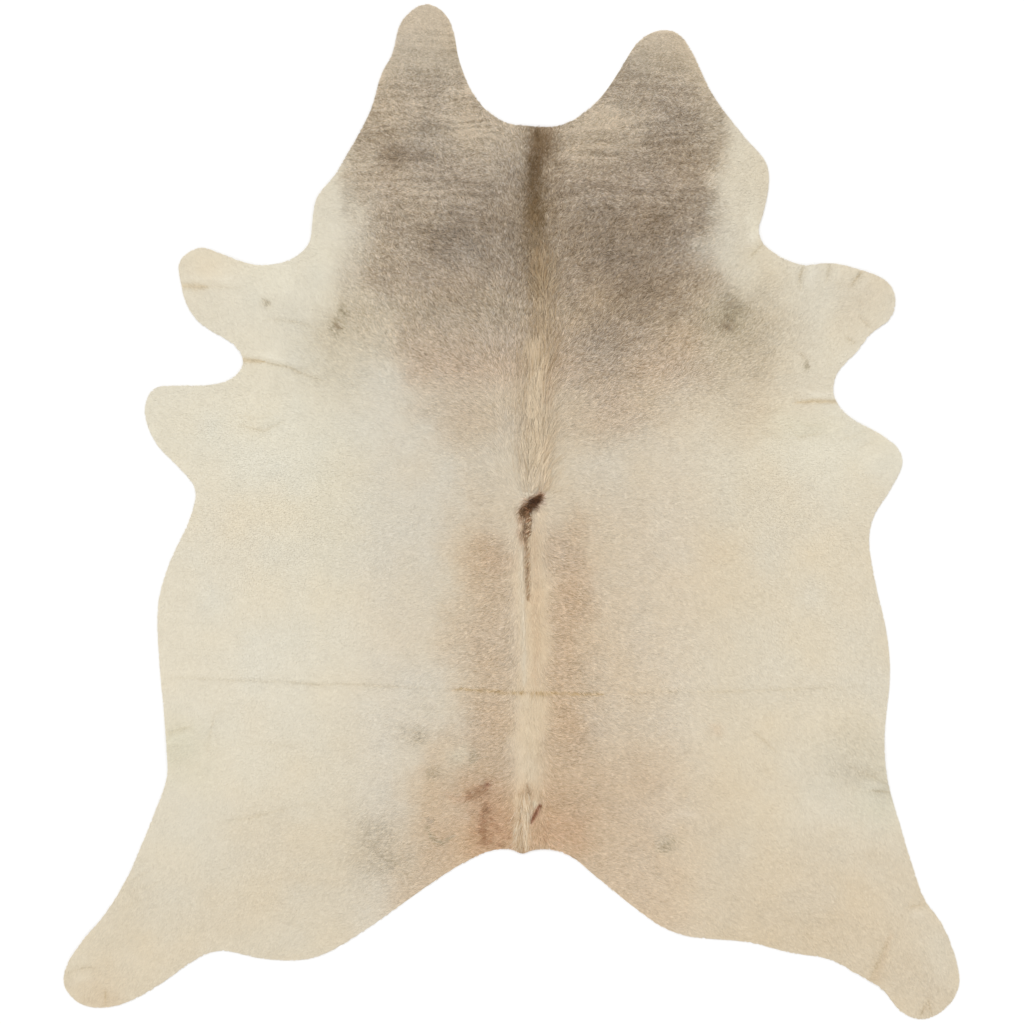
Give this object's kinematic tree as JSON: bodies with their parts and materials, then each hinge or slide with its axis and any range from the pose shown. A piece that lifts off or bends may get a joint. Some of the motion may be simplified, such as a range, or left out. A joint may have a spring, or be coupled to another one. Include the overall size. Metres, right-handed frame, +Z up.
{
  "type": "cowhide rug",
  "caption": "Whole hair-on cowhide laid flat as a floor rug, with neck flaps, fore and hind shanks and a short tail stub, coat side up.",
  "frame": {"origin": "under the middle of the hide's bounding box, on the plane it rests on", "axes": "+Y towards the neck, +X towards the right-hand shanks as seen from above, +Z up through the coat"},
  "size_m": [1.883, 2.1352, 0.0088],
  "materials": {
    "hide": "tanned skin, suede on the flesh side, smooth under the coat",
    "coat": "short lying cattle hair with a soft sheen"
  },
  "bodies": {
    "root": {"hide": "hide"}
  },
  "joints": []
}
